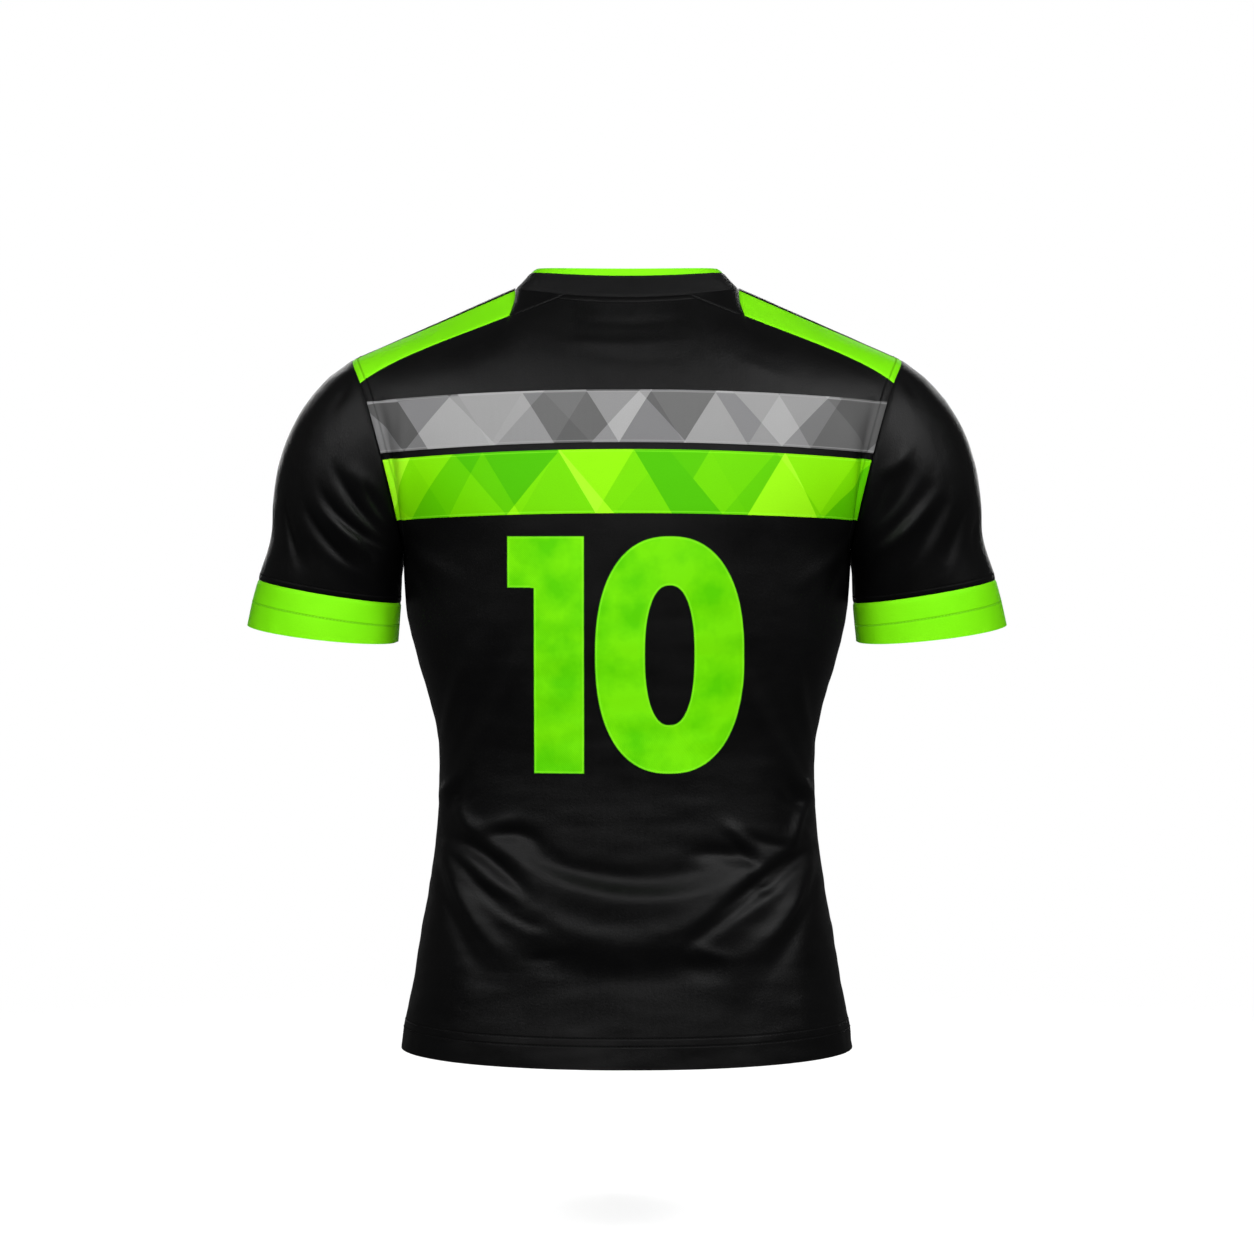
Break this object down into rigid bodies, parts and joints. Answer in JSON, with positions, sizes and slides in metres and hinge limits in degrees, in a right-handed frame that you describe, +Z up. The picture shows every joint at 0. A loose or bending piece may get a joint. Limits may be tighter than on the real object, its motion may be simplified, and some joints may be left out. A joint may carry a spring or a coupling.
{
  "type": "football jersey",
  "caption": "Short-sleeved crew-neck football jersey, hollow as worn, black with lime shoulder panels and cuffs, mosaic bands across the back and a plain number.",
  "frame": {"origin": "middle of the neck opening, level with the high points of the shoulders, where the jersey hangs on whoever wears it", "axes": "+X to the wearer's right, +Y to the wearer's front, +Z up"},
  "size_m": [0.683, 0.2442, 0.7017],
  "materials": {
    "black_cloth": "smooth black polyester knit with a soft satin sheen",
    "collar_cloth": "finely ribbed black polyester knit",
    "lime_cloth": "smooth lime polyester knit",
    "grey_print": "printed mosaic of triangles in greys on knit",
    "lime_print": "printed mosaic of triangles in lime greens on knit",
    "number_print": "matte lime heat-applied figure with a fine diagonal rib"
  },
  "bodies": {
    "root": {"back": "black_cloth", "front": "black_cloth", "shoulder_panel_left": "lime_cloth", "shoulder_panel_right": "lime_cloth", "neck_gusset_left": "black_cloth", "neck_gusset_right": "black_cloth", "sleeve_left": "black_cloth", "sleeve_right": "black_cloth", "cuff_left": "lime_cloth", "cuff_right": "lime_cloth", "collar": "collar_cloth", "collar_trim": "lime_cloth", "band_grey": "grey_print", "band_lime": "lime_print", "digit_one": "number_print", "digit_zero": "number_print"}
  },
  "joints": []
}
